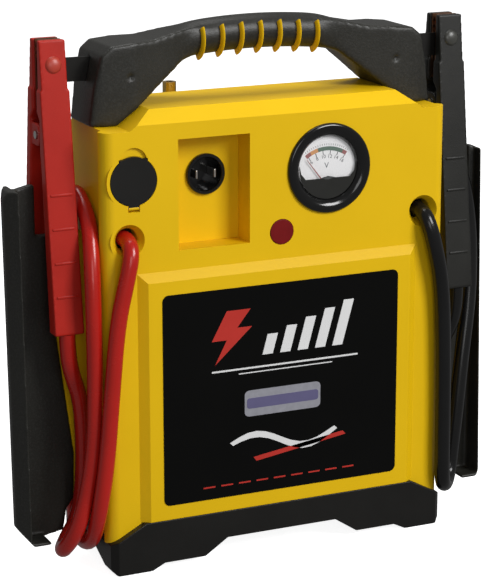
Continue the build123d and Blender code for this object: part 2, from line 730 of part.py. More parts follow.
with BuildPart() as meter_needle:
    needle_spot = Location((meter_x, dial_y - 1.5, needle_z), (0, needle_lean, 0))
    with Locations(needle_spot):
        Box(0.9, 0.5, needle_len, align=(Align.CENTER, Align.CENTER, Align.MIN))
    with along_y(meter_x, dial_y - 1.3, needle_z):
        Cylinder(2.0, 1.4)
meter_needle.part.label = "meter_needle"
export_step(meter_needle.part, "parts/meter_needle.step")

with BuildPart() as meter_cover:
    with BuildSketch(Plane.XZ.offset(-front_y + 1)):
        with Locations((meter_x, meter_z)):
            Circle(lens_d / 2 - 1.3)
        with Locations((meter_x, cover_top + lens_d / 2)):
            Rectangle(lens_d, lens_d, mode=Mode.SUBTRACT)
    extrude(amount=-2.6)
meter_cover.part.label = "meter_cover"
export_step(meter_cover.part, "parts/meter_cover.step")

with BuildPart() as meter_lens:
    with along_y(meter_x, front_y - 1.8, meter_z):
        Cylinder(lens_d / 2 - 1.3, 1.2)
meter_lens.part.label = "meter_lens"
export_step(meter_lens.part, "parts/meter_lens.step")

# ---- test button and its switch ----
button_t = 4.0
stem_len = 6.0
with BuildPart() as test_button:
    with along_y(button_x, front_y + button_t / 2 - 0.5, button_z):
        Cylinder(button_d / 2, button_t)
    with along_y(button_x, front_y + button_t - 0.5 + stem_len / 2, button_z):
        Cylinder(3, stem_len)
test_button.part.label = "test_button"
export_step(test_button.part, "parts/test_button.step")

switch_face = front_y + button_t - 0.5 + stem_len + button_travel + fit_gap
with BuildPart() as test_switch:
    with Locations((button_x, switch_face + 6, button_z)):
        Box(14, 12, 14)
test_switch.part.label = "test_switch"
export_step(test_switch.part, "parts/test_switch.step")

# ---- battery, terminals and charger board ----
battery_low = base_top + wall
terminal_pitch = 140.0
with BuildPart() as battery:
    with Locations((0, 0, battery_low + battery_h / 2)):
        Box(battery_w, battery_d, battery_h)
    fillet(battery.edges().filter_by(Axis.Z), 3)
battery.part.label = "battery"
export_step(battery.part, "parts/battery.step")

terminal_h = 14.0
with BuildPart() as battery_terminals:
    with Locations((0, 24, battery_low + battery_h + terminal_h / 2)):
        with GridLocations(terminal_pitch, 0, 2, 1):
            Box(14, 3, terminal_h)
battery_terminals.part.label = "battery_terminals"
export_step(battery_terminals.part, "parts/battery_terminals.step")

board_t = 1.6
with BuildPart() as charger_board:
    with Locations((-85, 20, 290)):
        Box(70, board_t, 90)
    for part_x, part_z, part_w in ((-100, 315, 16), (-72, 312, 12), (-96, 275, 14), (-70, 270, 18)):
        with Locations((part_x, 20 + board_t / 2 + 5, part_z)):
            Box(part_w, 10, part_w)
    board_back = 20 + board_t / 2
    stud_len = housing_half_d - wall - board_back
    for mount_x in (-115, -55):
        with along_y(mount_x, board_back + stud_len / 2, 325):
            Cylinder(3, stud_len)
charger_board.part.label = "charger_board"
export_step(charger_board.part, "parts/charger_board.step")

# ---- compressor: motor, cylinder head and cooling fan ----
motor_low = motor_z - motor_len / 2
with BuildPart() as compressor_motor:
    with Locations((motor_x, 14, motor_z)):
        Cylinder(motor_d / 2, motor_len)
    with Locations((motor_x, (14 + housing_half_d - wall) / 2, motor_z - 15)):
        Box(30, housing_half_d - wall - 14, 14)
    with Locations((motor_x, 14, motor_z + motor_len / 2 + 5)):
        Cylinder(fan_shaft_d / 2, 10)
compressor_motor.part.label = "compressor_motor"
export_step(compressor_motor.part, "parts/compressor_motor.step")

cylinder_z = motor_low - 9
with BuildPart() as compressor_cylinder:
    with Locations((motor_x, 14, cylinder_z)):
        Box(34, 34, 18)
    with Locations(Location((motor_x - 27, 14, cylinder_z), (0, 90, 0))):
        Cylinder(9, 20)
compressor_cylinder.part.label = "compressor_cylinder"
export_step(compressor_cylinder.part, "parts/compressor_cylinder.step")

fan_low = motor_z + motor_len / 2 + 2
blade_count = 6
with BuildPart() as cooling_fan:
    with Locations((motor_x, 14, fan_low + 4)):
        Cylinder(7, 8)
        with PolarLocations(fan_d / 4 + 2, blade_count):
            Box(fan_d / 2 - 6, 1.6, 7)
    with Locations((motor_x, 14, fan_low + 4)):
        Cylinder(fan_shaft_d / 2 + 0.05, 20, mode=Mode.SUBTRACT)
cooling_fan.part.label = "cooling_fan"
export_step(cooling_fan.part, "parts/cooling_fan.step")

# ---- rear pressure gauge and compressor switch ----
back_y = housing_half_d
gauge_cup = 14.0
with BuildPart() as pressure_gauge:
    with along_y(gauge_x, back_y + 1.5, gauge_z):
        Cylinder(gauge_d / 2, 3)
    with along_y(gauge_x, back_y - gauge_cup / 2, gauge_z):
        Cylinder(gauge_d / 2 - 2.3, gauge_cup)
    with along_y(gauge_x, back_y - 0.5, gauge_z):
        Cylinder(gauge_d / 2 - 4, 7, mode=Mode.SUBTRACT)
pressure_gauge.part.label = "pressure_gauge"
export_step(pressure_gauge.part, "parts/pressure_gauge.step")

gauge_hand_y = back_y - 2.0
with BuildPart() as gauge_needle:
    with Locations(Location((gauge_x, gauge_hand_y, gauge_z), (0, 135, 0))):
        Box(1.0, 0.6, 15, align=(Align.CENTER, Align.CENTER, Align.MIN))
    with along_y(gauge_x, gauge_hand_y, gauge_z):
        Cylinder(2.2, 1.6)
gauge_needle.part.label = "gauge_needle"
export_step(gauge_needle.part, "parts/gauge_needle.step")

with BuildPart() as gauge_lens:
    with along_y(gauge_x, back_y + 1.8, gauge_z):
        Cylinder(gauge_d / 2 - 4.3, 1.2)
gauge_lens.part.label = "gauge_lens"
export_step(gauge_lens.part, "parts/gauge_lens.step")

with BuildPart() as switch_frame:
    with Locations((switch_x, back_y - 6, switch_z)):
        Box(20, 14, 13)
    with Locations((switch_x, back_y + 1, switch_z)):
        Box(24, 2, 17)
    with Locations((switch_x, back_y - 2, switch_z)):
        Box(17, 14, 10, mode=Mode.SUBTRACT)
switch_frame.part.label = "switch_frame"
export_step(switch_frame.part, "parts/switch_frame.step")

with BuildPart() as compressor_switch:
    with BuildSketch(Plane.XY.offset(switch_z)):
        with BuildLine():
            Polyline(
                (switch_x - 6.6, back_y + 3.2), (switch_x, back_y + 1.4), (switch_x + 6.6, back_y + 0.2),
                (switch_x + 6, back_y - 4), (switch_x, back_y - 7), (switch_x - 6, back_y - 4),
                close=True,
            )
        make_face()
    extrude(amount=4.6, both=True)
compressor_switch.part.label = "compressor_switch"
export_step(compressor_switch.part, "parts/compressor_switch.step")

# ---- air hose down the back, held by clips, with its chuck at the top ----
hose_y = back_y + hose_d / 2 + 0.5
chuck_low = 298.0
elbow_low = 183.0
hose_route = [
    (30, hose_y, elbow_low), (30, hose_y, 160), (29.8, hose_y, 124), (30.0, hose_y, 86.5),
    (11, hose_y, 67.5), (-29, hose_y, 67.6), (chuck_x, hose_y, 87), (-48.5, hose_y, 126),
    (-47.8, hose_y, 180), (-48.4, hose_y, 235), (chuck_x, hose_y, 276), (chuck_x, hose_y, chuck_low),
]
sweep_tube(hose_route, hose_d, "air_hose")

with BuildPart() as hose_elbow:
    with Locations((30, back_y + 4.75, elbow_low + 7)):
        Box(12, 9.5, 14)
    fillet(hose_elbow.edges().filter_by(Axis.X).group_by(Axis.Y)[-1], 3)
hose_elbow.part.label = "hose_elbow"
export_step(hose_elbow.part, "parts/hose_elbow.step")

chuck_r = 5.4
with BuildPart() as air_chuck:
    with Locations((chuck_x, hose_y, chuck_low + 9)):
        Cylinder(chuck_r - 1, 18)
    with Locations((chuck_x, hose_y, chuck_low + 40)):
        Cylinder(chuck_r - 1.2, 44)
    with Locations((chuck_x, hose_y, chuck_low + 58)):
        Cylinder(chuck_r, 10)
    with Locations((chuck_x, hose_y, chuck_low + 60)):
        Cylinder(2.6, 8, mode=Mode.SUBTRACT)
air_chuck.part.label = "air_chuck"
export_step(air_chuck.part, "parts/air_chuck.step")

clip_t = 1.4
clip_h = 10.0
clip_spots = [(29.95, 150, hose_d), (-48.2, 150, hose_d), (-48.25, 250, hose_d),
              (chuck_x, chuck_low + 24, 2 * chuck_r - 2.4)]
with BuildPart() as hose_clips:
    for clip_x, clip_z, held in clip_spots:
        with Locations((clip_x, (back_y + hose_y) / 2, clip_z)):
            Box(held + 2 * clip_t + 0.8, hose_y - back_y, clip_h)
        with Locations((clip_x, hose_y, clip_z)):
            Cylinder(held / 2 + clip_t + 0.3, clip_h)
    for clip_x, clip_z, held in clip_spots:
        with Locations((clip_x, hose_y, clip_z)):
            Cylinder(held / 2 + 0.3, 2 * clip_h, mode=Mode.SUBTRACT)
            Box(0.7 * held, 4 * held, 2 * clip_h, mode=Mode.SUBTRACT,
                align=(Align.CENTER, Align.MIN, Align.CENTER))
    # flat against the back of the housing
    with Locations((0, back_y - 10, chuck_low)):
        Box(200, 20, 600, mode=Mode.SUBTRACT)
hose_clips.part.label = "hose_clips"
export_step(hose_clips.part, "parts/hose_clips.step")

# ---- screws that hold the shells ----
screw_len = housing_half_d - screw_sink + 12
with BuildPart() as housing_screws:
    for x, z in screw_spots:
        with along_y(x, back_y - screw_sink + 1.4, z):
            Cylinder(screw_head_d / 2, 2.8)
        with along_y(x, back_y - screw_sink - screw_len / 2 + 2, z):
            Cylinder(screw_d / 2, screw_len)
housing_screws.part.label = "housing_screws"
export_step(housing_screws.part, "parts/housing_screws.step")
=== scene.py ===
import json
import math

import bmesh
import bpy
from mathutils import Matrix, Vector


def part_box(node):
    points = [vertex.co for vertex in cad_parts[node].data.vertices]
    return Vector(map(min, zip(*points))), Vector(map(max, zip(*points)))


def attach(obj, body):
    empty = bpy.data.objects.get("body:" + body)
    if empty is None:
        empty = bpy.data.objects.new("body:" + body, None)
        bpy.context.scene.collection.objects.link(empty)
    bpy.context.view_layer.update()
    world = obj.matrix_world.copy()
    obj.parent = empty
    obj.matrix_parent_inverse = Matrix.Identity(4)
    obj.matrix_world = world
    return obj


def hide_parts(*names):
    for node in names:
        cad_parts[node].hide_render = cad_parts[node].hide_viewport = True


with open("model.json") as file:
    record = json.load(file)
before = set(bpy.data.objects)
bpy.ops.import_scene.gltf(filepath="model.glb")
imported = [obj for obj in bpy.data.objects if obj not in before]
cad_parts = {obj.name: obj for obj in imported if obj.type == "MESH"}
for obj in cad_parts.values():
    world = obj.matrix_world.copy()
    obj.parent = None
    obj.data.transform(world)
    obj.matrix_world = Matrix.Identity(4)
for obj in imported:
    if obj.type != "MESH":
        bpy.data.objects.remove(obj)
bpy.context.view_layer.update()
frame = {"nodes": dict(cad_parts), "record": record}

# Jump starter pack. Metres, X right, Y back, Z up, standing on Z = 0.
mm = 0.001
nodes = frame["nodes"]
scene = bpy.context.scene


def boxMiddle(nodeName):
    low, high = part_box(nodeName)
    return (low + high) / 2


studio = {
    "cameraPlace": (-0.7059, -1.5279, 0.6438),
    "cameraAim": (0.4040, 0.8781, -0.2564),
    "lens": 135.6,
    "floorTint": (0.86, 0.86, 0.86, 1),
    "worldStrength": 0.20,
    "floorGlow": 0.9,
    "lamps": [
        # name, place, aim, size, watts
        ("keySoftbox", (1.15, -2.1, 1.75), (0, 0, 0.2), 1.1, 60),
        ("topSoftbox", (-0.1, 0.5, 2.4), (0, 0, 0.2), 1.3, 27),
        ("frontFill", (-0.7, -2.6, 0.9), (0, 0, 0.2), 1.0, 9),
    ],
}


def aimed(place, direction):
    turn = Vector(direction).to_track_quat("-Z", "Y")
    return Matrix.Translation(place) @ turn.to_matrix().to_4x4()


def addStudio():
    camera = bpy.data.objects.new("studioCamera", bpy.data.cameras.new("studioCamera"))
    scene.collection.objects.link(camera)
    camera.data.lens = studio["lens"]
    camera.data.sensor_width = 36
    camera.data.clip_end = 50
    camera.matrix_world = aimed(studio["cameraPlace"], studio["cameraAim"])
    scene.camera = camera
    for name, place, target, size, watts in studio["lamps"]:
        light = bpy.data.lights.new(name, "AREA")
        light.size = size
        light.energy = watts
        lamp = bpy.data.objects.new(name, light)
        scene.collection.objects.link(lamp)
        lamp.matrix_world = aimed(place, Vector(target) - Vector(place))
    world = bpy.data.worlds.new("paleStudio")
    world.use_nodes = True
    sky = world.node_tree.nodes["Background"]
    sky.inputs["Color"].default_value = (1, 1, 1, 1)
    sky.inputs["Strength"].default_value = studio["worldStrength"]
    scene.world = world
    scene.view_settings.view_transform = "Standard"
    floorMesh = bpy.data.meshes.new("studioFloor")
    reach = 7.0
    floorMesh.from_pydata([(-reach, -reach, 0), (reach, -reach, 0), (reach, reach, 0), (-reach, reach, 0)],
                          [], [(0, 1, 2, 3)])
    floor = bpy.data.objects.new("studioFloor", floorMesh)
    scene.collection.objects.link(floor)
    paper = bpy.data.materials.new("studioPaper")
    paper.use_nodes = True
    paper.node_tree.nodes["Principled BSDF"].inputs["Base Color"].default_value = studio["floorTint"]
    paper.node_tree.nodes["Principled BSDF"].inputs["Roughness"].default_value = 0.9
    paper.node_tree.nodes["Principled BSDF"].inputs["Emission Color"].default_value = (1, 1, 1, 1)
    paper.node_tree.nodes["Principled BSDF"].inputs["Emission Strength"].default_value = studio["floorGlow"]
    floorMesh.materials.append(paper)
    floor.visible_glossy = False
    floor.visible_diffuse = False


addStudio()
print("studio ready")


def addNode(tree, kind, **values):
    made = tree.nodes.new(kind)
    for key, value in values.items():
        if key in made.inputs:
            made.inputs[key].default_value = value
        else:
            setattr(made, key, value)
    return made


def moulded(name, tint, rough=0.45, drift=0.08, driftScale=14, grain=0.0, grainScale=900, peel=0.0,
            coat=0.0, metal=0.0, roughDrift=0.06, specks=0.0, shine=0.5):
    # colour drifts gently, the grain and the orange peel are bump, the roughness follows both
    material = bpy.data.materials.new(name)
    material.use_nodes = True
    tree = material.node_tree
    surface = tree.nodes["Principled BSDF"]
    surface.inputs["Metallic"].default_value = metal
    surface.inputs["Coat Weight"].default_value = coat
    surface.inputs["Specular IOR Level"].default_value = shine
    surface.inputs["Coat Roughness"].default_value = 0.12
    place = addNode(tree, "ShaderNodeTexCoord")
    cloud = addNode(tree, "ShaderNodeTexNoise", Scale=driftScale, Detail=4.0, Roughness=0.6)
    tree.links.new(place.outputs["Object"], cloud.inputs["Vector"])
    tone = addNode(tree, "ShaderNodeValToRGB")
    tone.color_ramp.elements[0].position = 0.3
    tone.color_ramp.elements[1].position = 0.7
    tone.color_ramp.elements[0].color = [c * (1 - drift) for c in tint] + [1]
    tone.color_ramp.elements[1].color = [min(1, c * (1 + drift)) for c in tint] + [1]
    tree.links.new(cloud.outputs["Fac"], tone.inputs["Fac"])
    colour = tone.outputs["Color"]
    fine = addNode(tree, "ShaderNodeTexNoise", Scale=grainScale, Detail=3.0, Roughness=0.65)
    tree.links.new(place.outputs["Object"], fine.inputs["Vector"])
    if specks:
        speckle = addNode(tree, "ShaderNodeValToRGB")
        speckle.color_ramp.elements[0].position = 0.46
        speckle.color_ramp.elements[1].position = 0.66
        speckle.color_ramp.elements[0].color = (0, 0, 0, 1)
        tree.links.new(fine.outputs["Fac"], speckle.inputs["Fac"])
        mix = addNode(tree, "ShaderNodeMix", data_type="RGBA")
        mix.inputs[7].default_value = [min(1, c + specks) for c in tint] + [1]
        tree.links.new(speckle.outputs["Color"], mix.inputs[0])
        tree.links.new(colour, mix.inputs[6])
        colour = mix.outputs[2]
    tree.links.new(colour, surface.inputs["Base Color"])
    spread = addNode(tree, "ShaderNodeMapRange")
    spread.inputs["To Min"].default_value = max(0.02, rough - roughDrift)
    spread.inputs["To Max"].default_value = min(1.0, rough + roughDrift)
    tree.links.new(cloud.outputs["Fac"], spread.inputs["Value"])
    tree.links.new(spread.outputs["Result"], surface.inputs["Roughness"])
    normal = None
    for strength, source, height in ((peel, cloud, 0.002), (grain, fine, 0.0004)):
        if strength:
            bump = addNode(tree, "ShaderNodeBump", Strength=strength, Distance=height)
            tree.links.new(source.outputs["Fac"], bump.inputs["Height"])
            if normal:
                tree.links.new(normal, bump.inputs["Normal"])
            normal = bump.outputs["Normal"]
    if normal:
        tree.links.new(normal, surface.inputs["Normal"])
    return material


def clearPlastic(name):
    material = bpy.data.materials.new(name)
    material.use_nodes = True
    tree = material.node_tree
    tree.nodes["Principled BSDF"].inputs["Transmission Weight"].default_value = 0.0
    tree.nodes["Principled BSDF"].inputs["Roughness"].default_value = 0.03
    tree.nodes["Principled BSDF"].inputs["Base Color"].default_value = (0.9, 0.95, 0.97, 1)
    tree.nodes["Principled BSDF"].inputs["Alpha"].default_value = 0.07
    place = addNode(tree, "ShaderNodeTexCoord")
    dust = addNode(tree, "ShaderNodeTexNoise", Scale=90, Detail=4.0)
    haze = addNode(tree, "ShaderNodeMapRange")
    haze.inputs["To Min"].default_value = 0.02
    haze.inputs["To Max"].default_value = 0.08
    tree.links.new(place.outputs["Object"], dust.inputs["Vector"])
    tree.links.new(dust.outputs["Fac"], haze.inputs["Value"])
    tree.links.new(haze.outputs["Result"], tree.nodes["Principled BSDF"].inputs["Roughness"])
    return material


finish = {
    "yellowShell": moulded("yellowShell", (0.82, 0.51, 0.004), 0.42, 0.03, 9, 0.10, 1400, 0.04, shine=0.22),
    "blackShell": moulded("blackShell", (0.009, 0.0085, 0.0075), 0.42, 0.12, 20, 0.30, 1100, shine=0.28),
    "grainedBlack": moulded("grainedBlack", (0.017, 0.0165, 0.013), 0.42, 0.25, 16, 0.45, 620,
                            specks=0.010, shine=0.4),
    "clampBlack": moulded("clampBlack", (0.013, 0.013, 0.011), 0.40, 0.15, 25, 0.30, 1000, shine=0.35),
    "glossBlack": moulded("glossBlack", (0.005, 0.005, 0.005), 0.14, 0.1, 20, 0.0, coat=0.3,
                          roughDrift=0.03, shine=0.35),
    "clampRed": moulded("clampRed", (0.44, 0.016, 0.008), 0.40, 0.07, 22, 0.22, 1000, shine=0.25),
    "rivetRed": moulded("rivetRed", (0.46, 0.05, 0.03), 0.36, 0.05, 60, 0.1, 900),
    "rivetGrey": moulded("rivetGrey", (0.05, 0.05, 0.044), 0.33, 0.1, 60, 0.1, 900),
    "redVinyl": moulded("redVinyl", (0.46, 0.012, 0.007), 0.27, 0.06, 30, 0.05, 500, coat=0.25, shine=0.35),
    "blackVinyl": moulded("blackVinyl", (0.006, 0.006, 0.006), 0.25, 0.1, 30, 0.05, 500, coat=0.2,
                          shine=0.3),
    "labelFilm": moulded("labelFilm", (0.0020, 0.0020, 0.0018), 0.30, 0.1, 12, roughDrift=0.04, shine=0.15),
    "inkWhite": moulded("inkWhite", (0.80, 0.80, 0.80), 0.35, 0.02, 40),
    "inkRed": moulded("inkRed", (0.52, 0.03, 0.02), 0.35, 0.05, 40),
    "inkSilver": moulded("inkSilver", (0.42, 0.42, 0.47), 0.3, 0.08, 200, metal=0.4),
    "inkViolet": moulded("inkViolet", (0.12, 0.11, 0.22), 0.4, 0.05, 60),
    "dialWhite": moulded("dialWhite", (0.88, 0.86, 0.86), 0.55, 0.03, 70),
    "dialInk": moulded("dialInk", (0.03, 0.03, 0.035), 0.5, 0.05, 70),
    "dialGreen": moulded("dialGreen", (0.012, 0.072, 0.026), 0.5, 0.12, 150),
    "dialOrange": moulded("dialOrange", (0.62, 0.24, 0.025), 0.5, 0.10, 150),
    "dialRed": moulded("dialRed", (0.26, 0.022, 0.015), 0.5, 0.12, 150),
    "coverGrey": moulded("coverGrey", (0.018, 0.018, 0.016), 0.55, 0.1, 60, 0.2, 1200, shine=0.25),
    "maroonButton": moulded("maroonButton", (0.17, 0.005, 0.006), 0.45, 0.10, 90, 0.15, 900, shine=0.2),
    "footRubber": moulded("footRubber", (0.018, 0.018, 0.018), 0.8, 0.15, 40, 0.4, 500),
    "zincSteel": moulded("zincSteel", (0.55, 0.54, 0.52), 0.30, 0.12, 120, 0.15, 900, metal=1.0),
    "copperJaw": moulded("copperJaw", (0.30, 0.15, 0.08), 0.34, 0.15, 90, 0.2, 800, metal=1.0),
    "machinedBrass": moulded("machinedBrass", (0.62, 0.43, 0.14), 0.28, 0.12, 90, 0.15, 900, metal=1.0),
    "batteryCase": moulded("batteryCase", (0.03, 0.03, 0.034), 0.6, 0.1, 20, 0.3, 700),
    "circuitGreen": moulded("circuitGreen", (0.015, 0.12, 0.04), 0.4, 0.2, 200, 0.2, 600),
    "castMetal": moulded("castMetal", (0.25, 0.25, 0.26), 0.5, 0.1, 40, 0.5, 500, metal=0.9),
    "clearLens": clearPlastic("clearLens"),
}
slotFinish = {
    "yellow_shell": "yellowShell", "black_shell": "blackShell", "black_gloss": "glossBlack",
    "red_plastic": "clampRed", "red_rubber": "redVinyl", "black_rubber": "blackVinyl",
    "foot_rubber": "footRubber", "clear_lens": "clearLens", "dial_face": "dialWhite",
    "label_print": "labelFilm", "maroon_button": "maroonButton", "steel": "zincSteel",
    "copper": "copperJaw", "brass_metal": "machinedBrass", "battery_case": "batteryCase",
    "circuit": "circuitGreen", "cast_metal": "castMetal",
}


def coat(piece, finishName):
    piece.data.materials.clear()
    piece.data.materials.append(finish[finishName])


for entry in frame["record"]["subparts"]:
    node = nodes[entry["node"]]
    for materialSlot in node.material_slots:
        materialSlot.material = finish[slotFinish[entry["material_slot"]]]
print("materials ready:", len(finish))


def settle(piece, body, finishName=None, replaced=()):
    if finishName:
        coat(piece, finishName)
    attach(piece, body)
    if replaced:
        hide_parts(*replaced)
    return piece


def meshPiece(name, build, smoothAngle=35):
    work = bmesh.new()
    build(work)
    bmesh.ops.recalc_face_normals(work, faces=work.faces)
    mesh = bpy.data.meshes.new(name)
    work.to_mesh(mesh)
    work.free()
    return linked(name, mesh, smoothAngle)


def linked(name, mesh, smoothAngle=35):
    mesh.polygons.foreach_set("use_smooth", [True] * len(mesh.polygons))
    mesh.set_sharp_from_angle(angle=math.radians(smoothAngle))
    piece = bpy.data.objects.new(name, mesh)
    scene.collection.objects.link(piece)
    return piece


def frozen(piece, name=None, smoothAngle=35):
    # the evaluated shape as a plain mesh
    bpy.context.view_layer.update()
    shape = bpy.data.meshes.new_from_object(piece.evaluated_get(bpy.context.evaluated_depsgraph_get()))
    name = name or piece.name
    piece.name = "spent"
    bpy.data.objects.remove(piece)
    shape.name = name
    return linked(name, shape, smoothAngle)


def weldedCopy(name, *nodeNames):
    work = bmesh.new()
    for nodeName in nodeNames:
        work.from_mesh(nodes[nodeName].data)
    bmesh.ops.remove_doubles(work, verts=work.verts, dist=0.00001)
    bmesh.ops.dissolve_limit(work, angle_limit=math.radians(0.6), verts=work.verts, edges=work.edges)
    mesh = bpy.data.meshes.new(name)
    work.to_mesh(mesh)
    work.free()
    piece = bpy.data.objects.new(name, mesh)
    scene.collection.objects.link(piece)
    return piece


def softEdged(name, nodeNames, radius, steps=3, angle=32):
    piece = weldedCopy(name, *nodeNames)
    bevel = piece.modifiers.new("softEdge", "BEVEL")
    bevel.width = radius
    bevel.segments = steps
    bevel.limit_method = "ANGLE"
    bevel.angle_limit = math.radians(angle)
    bevel.use_clamp_overlap = True
    piece.data.polygons.foreach_set("use_smooth", [True] * len(piece.data.polygons))
    shade = piece.modifiers.new("evenShade", "WEIGHTED_NORMAL")
    shade.weight = 100
    shade.keep_sharp = True
    return frozen(piece, name, 40)


def moulding(name, nodeNames, voxel, rounds, carve=None):
    # fused, evened out and rubbed smooth, for thick moulded parts
    piece = weldedCopy(name, *nodeNames)
    remesh = piece.modifiers.new("even", "REMESH")
    remesh.mode = "VOXEL"
    remesh.voxel_size = voxel
    smooth = piece.modifiers.new("rub", "SMOOTH")
    smooth.factor = 0.5
    smooth.iterations = rounds
    piece = frozen(piece, name, 60)
    if carve:
        for vertex in piece.data.vertices:
            carve(vertex.co)
    return piece


def lathe(name, profile, middle, steps=64, axis=(0, -1, 0), smoothAngle=35):
    # profile: (radius, height along the axis) pairs, in metres
    turn = Vector((0, 0, 1)).rotation_difference(Vector(axis)).to_matrix()

    def build(work):
        rings = []
        for radius, height in profile:
            ring = []
            for step in range(steps if radius > 1e-6 else 1):
                a = 2 * math.pi * step / steps
                spot = turn @ Vector((radius * math.cos(a), radius * math.sin(a), height))
                ring.append(work.verts.new(spot + Vector(middle)))
            rings.append(ring)
        for first, second in zip(rings, rings[1:]):
            for step in range(steps):
                corner = [first[step % len(first)], first[(step + 1) % len(first)],
                          second[(step + 1) % len(second)], second[step % len(second)]]
                face = []
                for vertex in corner:
                    if vertex not in face:
                        face.append(vertex)
                if len(face) > 2:
                    work.faces.new(face)
    return meshPiece(name, build, smoothAngle)


def flatArt(name, outlines, faceY, thick=0.00018, towards=-1):
    # thin printed shapes lying on a plane of constant Y; outlines are (x, z) in metres
    def build(work):
        for outline in outlines:
            ring = [work.verts.new((x, faceY, z)) for x, z in outline]
            face = work.faces.new(ring)
            grown = bmesh.ops.extrude_face_region(work, geom=[face])
            for item in grown["geom"]:
                if isinstance(item, bmesh.types.BMVert):
                    item.co.y += towards * thick
    return meshPiece(name, build)


def arcBand(middle, inner, outer, start, end, steps=18):
    # annular strip in (x, z), angles in degrees from straight up
    def rim(radius, angles):
        return [(middle[0] + radius * math.sin(a), middle[1] + radius * math.cos(a)) for a in angles]
    angles = [math.radians(start + (end - start) * i / steps) for i in range(steps + 1)]
    return rim(outer, angles) + rim(inner, reversed(angles))


def roundedBox(cx, cz, wide, high, radius, steps=5):
    points = []
    for sx, sz, start in ((1, 1, 0), (-1, 1, 90), (-1, -1, 180), (1, -1, 270)):
        for i in range(steps + 1):
            a = math.radians(start + 90 * i / steps)
            points.append((cx + sx * (wide / 2 - radius) + radius * math.cos(a),
                           cz + sz * (high / 2 - radius) + radius * math.sin(a)))
    return points


def joined(name, pieces):
    work = bmesh.new()
    for piece in pieces:
        work.from_mesh(piece.data)
        bpy.data.objects.remove(piece)
    mesh = bpy.data.meshes.new(name)
    work.to_mesh(mesh)
    work.free()
    return linked(name, mesh)


def rowTree(name, shapeMaker, inputs, finishName):
    # points in a straight row along X that bows down towards its ends, one shape on each
    tree = bpy.data.node_groups.new(name, "GeometryNodeTree")
    face = tree.interface
    face.new_socket("Geometry", in_out="INPUT", socket_type="NodeSocketGeometry")
    face.new_socket("Geometry", in_out="OUTPUT", socket_type="NodeSocketGeometry")
    for label, kind in inputs:
        face.new_socket(label, in_out="INPUT", socket_type=kind)
    start = tree.nodes.new("NodeGroupInput")
    end = tree.nodes.new("NodeGroupOutput")
    shape = shapeMaker(tree, start)
    line = addNode(tree, "GeometryNodeMeshLine")
    step = addNode(tree, "ShaderNodeCombineXYZ")
    tree.links.new(start.outputs["Pitch"], step.inputs["X"])
    tree.links.new(step.outputs["Vector"], line.inputs["Offset"])
    tree.links.new(start.outputs["Count"], line.inputs["Count"])
    span = addNode(tree, "ShaderNodeMath", operation="MULTIPLY_ADD")  # -(count - 1) / 2
    span.inputs[1].default_value = -0.5
    span.inputs[2].default_value = 0.5
    tree.links.new(start.outputs["Count"], span.inputs[0])
    first = addNode(tree, "ShaderNodeMath", operation="MULTIPLY")
    tree.links.new(span.outputs[0], first.inputs[0])
    tree.links.new(start.outputs["Pitch"], first.inputs[1])
    startPoint = addNode(tree, "ShaderNodeCombineXYZ")
    tree.links.new(first.outputs[0], startPoint.inputs["X"])
    tree.links.new(startPoint.outputs["Vector"], line.inputs["Start Location"])
    here = addNode(tree, "GeometryNodeInputPosition")
    parts = addNode(tree, "ShaderNodeSeparateXYZ")
    square = addNode(tree, "ShaderNodeMath", operation="MULTIPLY")
    sink = addNode(tree, "ShaderNodeMath", operation="MULTIPLY")
    shift = addNode(tree, "ShaderNodeCombineXYZ")
    move = addNode(tree, "GeometryNodeSetPosition")
    tree.links.new(here.outputs[0], parts.inputs[0])
    tree.links.new(parts.outputs["X"], square.inputs[0])
    tree.links.new(parts.outputs["X"], square.inputs[1])
    tree.links.new(square.outputs[0], sink.inputs[0])
    tree.links.new(start.outputs["Bow"], sink.inputs[1])
    tree.links.new(sink.outputs[0], shift.inputs["Z"])
    tree.links.new(line.outputs["Mesh"], move.inputs["Geometry"])
    tree.links.new(shift.outputs[0], move.inputs["Offset"])
    scatter = addNode(tree, "GeometryNodeInstanceOnPoints")
    tree.links.new(move.outputs[0], scatter.inputs["Points"])
    tree.links.new(shape, scatter.inputs["Instance"])
    real = addNode(tree, "GeometryNodeRealizeInstances")
    paint = addNode(tree, "GeometryNodeSetMaterial")
    paint.inputs["Material"].default_value = finish[finishName]
    tree.links.new(scatter.outputs[0], real.inputs[0])
    tree.links.new(real.outputs[0], paint.inputs["Geometry"])
    tree.links.new(paint.outputs[0], end.inputs[0])
    return tree


rowInputs = [("Count", "NodeSocketInt"), ("Pitch", "NodeSocketFloat"), ("Bow", "NodeSocketFloat"),
             ("Size", "NodeSocketVector")]


def blockShape(tree, start):
    cube = addNode(tree, "GeometryNodeMeshCube")
    tree.links.new(start.outputs["Size"], cube.inputs["Size"])
    return cube.outputs["Mesh"]


